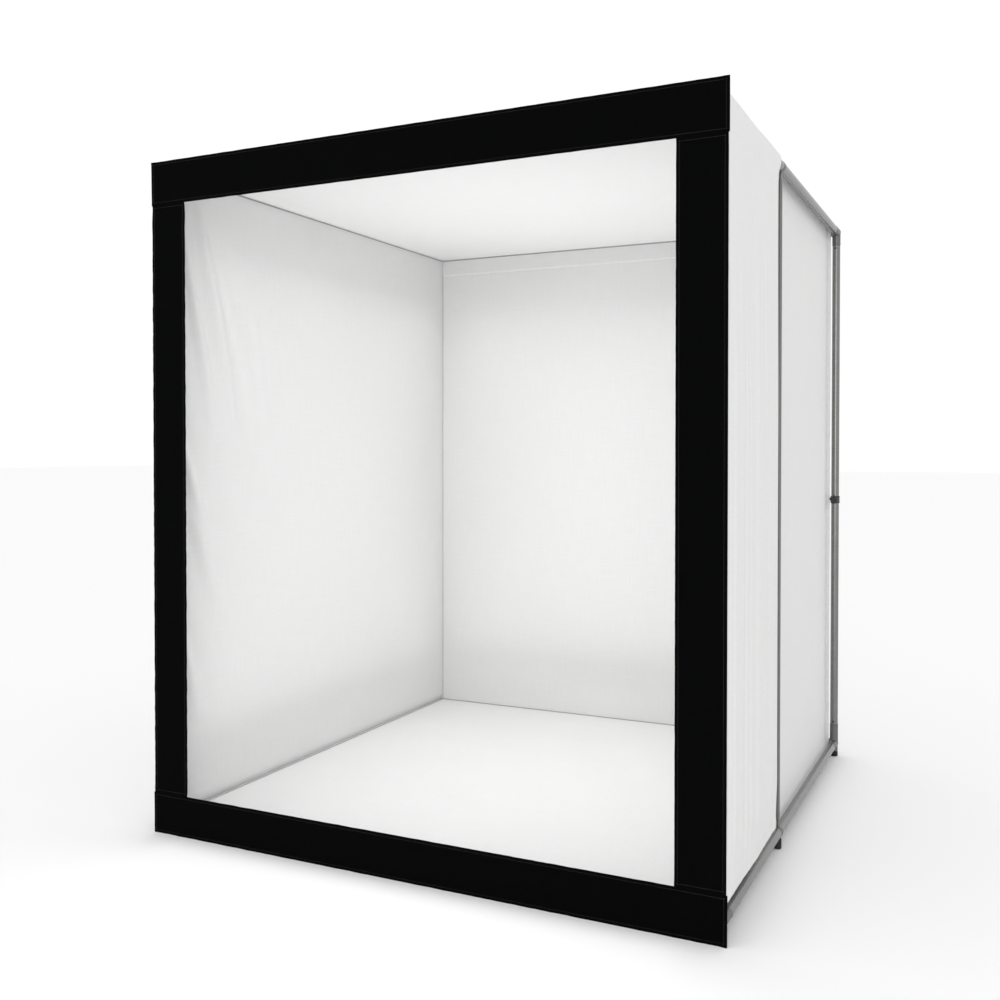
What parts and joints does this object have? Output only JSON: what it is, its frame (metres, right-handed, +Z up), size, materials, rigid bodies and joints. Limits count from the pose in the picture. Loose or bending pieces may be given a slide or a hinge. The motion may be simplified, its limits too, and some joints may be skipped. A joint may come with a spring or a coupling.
{
  "type": "walk-in fabric enclosure tent",
  "caption": "Walk-in enclosure tent: white cloth box with an open, black-bordered front, hung in a grey tube frame with clamped posts and rubber feet.",
  "frame": {"origin": "on the floor, below the middle of the overall box", "axes": "+X to the right seen from the open front, +Y to the rear, +Z up; the black-bordered opening faces -Y"},
  "size_m": [1.981, 1.981, 2.286],
  "materials": {
    "steel_tube": "satin grey tube",
    "grey_connector": "satin grey casting",
    "pole_metal": "satin grey",
    "black_plastic": "semi-matte black",
    "rubber": "matte black rubber",
    "white_cloth": "plain-woven matte white cloth",
    "black_cloth": "dense matte black cloth with a fine weave"
  },
  "bodies": {
    "frame": {"corner_front_left_bottom": "grey_connector", "corner_front_left_top": "grey_connector", "corner_rear_left_bottom": "grey_connector", "corner_rear_left_top": "grey_connector", "corner_front_right_bottom": "grey_connector", "corner_front_right_top": "grey_connector", "corner_rear_right_bottom": "grey_connector", "corner_rear_right_top": "grey_connector", "post_front_left": "steel_tube", "post_rear_left_lower": "steel_tube", "post_rear_left_upper": "steel_tube", "post_front_right": "steel_tube", "post_rear_right_lower": "steel_tube", "post_rear_right_upper": "steel_tube", "post_clamp_left": "black_plastic", "post_clamp_right": "black_plastic", "rail_front_bottom": "steel_tube", "rail_front_top": "steel_tube", "rail_rear_bottom": "steel_tube", "rail_rear_top": "steel_tube", "rail_left_bottom_front": "steel_tube", "rail_left_bottom_rear": "steel_tube", "rail_left_top_front": "steel_tube", "rail_left_top_rear": "steel_tube", "rail_right_bottom_front": "steel_tube", "rail_right_bottom_rear": "steel_tube", "rail_right_top_front": "steel_tube", "rail_right_top_rear": "steel_tube", "mid_connector_left_bottom": "grey_connector", "mid_connector_left_top": "grey_connector", "mid_pole_left": "pole_metal", "mid_connector_right_bottom": "grey_connector", "mid_connector_right_top": "grey_connector", "mid_pole_right": "pole_metal", "foot_front_left": "rubber", "foot_rear_left": "rubber", "foot_front_right": "rubber", "foot_rear_right": "rubber", "roof": "white_cloth", "floor": "white_cloth", "rear_wall": "white_cloth", "left_wall": "white_cloth", "right_wall": "white_cloth", "left_drape": "white_cloth", "right_drape": "white_cloth", "border_top": "black_cloth", "border_bottom": "black_cloth", "border_left": "black_cloth", "border_right": "black_cloth"},
    "post_knob_left": {"post_knob_left": "black_plastic"},
    "post_knob_right": {"post_knob_right": "black_plastic"},
    "button_left_post_bottom": {"button_left_post_bottom": "black_plastic"},
    "button_left_post_top": {"button_left_post_top": "black_plastic"},
    "button_left_rail_front": {"button_left_rail_front": "black_plastic"},
    "button_left_rail_rear": {"button_left_rail_rear": "black_plastic"},
    "button_right_post_bottom": {"button_right_post_bottom": "black_plastic"},
    "button_right_post_top": {"button_right_post_top": "black_plastic"},
    "button_right_rail_front": {"button_right_rail_front": "black_plastic"},
    "button_right_rail_rear": {"button_right_rail_rear": "black_plastic"}
  },
  "joints": [
    {"name": "knob_left_turn", "type": "hinge", "parent": "frame", "child": "post_knob_left", "pos_m": [-0.9665, 0.9465, 1.098], "axis": [0, -1, 0], "range_deg": [0, 450]},
    {"name": "knob_right_turn", "type": "hinge", "parent": "frame", "child": "post_knob_right", "pos_m": [0.9665, 0.9465, 1.098], "axis": [0, -1, 0], "range_deg": [0, 450]},
    {"name": "button_left_post_bottom_press", "type": "slide", "parent": "frame", "child": "button_left_post_bottom", "axis": [0, 1, 0], "range_m": [0, 0.0035], "stiffness_N_per_m": 400},
    {"name": "button_left_post_top_press", "type": "slide", "parent": "frame", "child": "button_left_post_top", "axis": [0, 1, 0], "range_m": [0, 0.0035], "stiffness_N_per_m": 400},
    {"name": "button_left_rail_front_press", "type": "slide", "parent": "frame", "child": "button_left_rail_front", "axis": [0, 0, -1], "range_m": [0, 0.0035], "stiffness_N_per_m": 400},
    {"name": "button_left_rail_rear_press", "type": "slide", "parent": "frame", "child": "button_left_rail_rear", "axis": [0, 0, -1], "range_m": [0, 0.0035], "stiffness_N_per_m": 400},
    {"name": "button_right_post_bottom_press", "type": "slide", "parent": "frame", "child": "button_right_post_bottom", "axis": [0, 1, 0], "range_m": [0, 0.0035], "stiffness_N_per_m": 400},
    {"name": "button_right_post_top_press", "type": "slide", "parent": "frame", "child": "button_right_post_top", "axis": [0, 1, 0], "range_m": [0, 0.0035], "stiffness_N_per_m": 400},
    {"name": "button_right_rail_front_press", "type": "slide", "parent": "frame", "child": "button_right_rail_front", "axis": [0, 0, -1], "range_m": [0, 0.0035], "stiffness_N_per_m": 400},
    {"name": "button_right_rail_rear_press", "type": "slide", "parent": "frame", "child": "button_right_rail_rear", "axis": [0, 0, -1], "range_m": [0, 0.0035], "stiffness_N_per_m": 400}
  ]
}
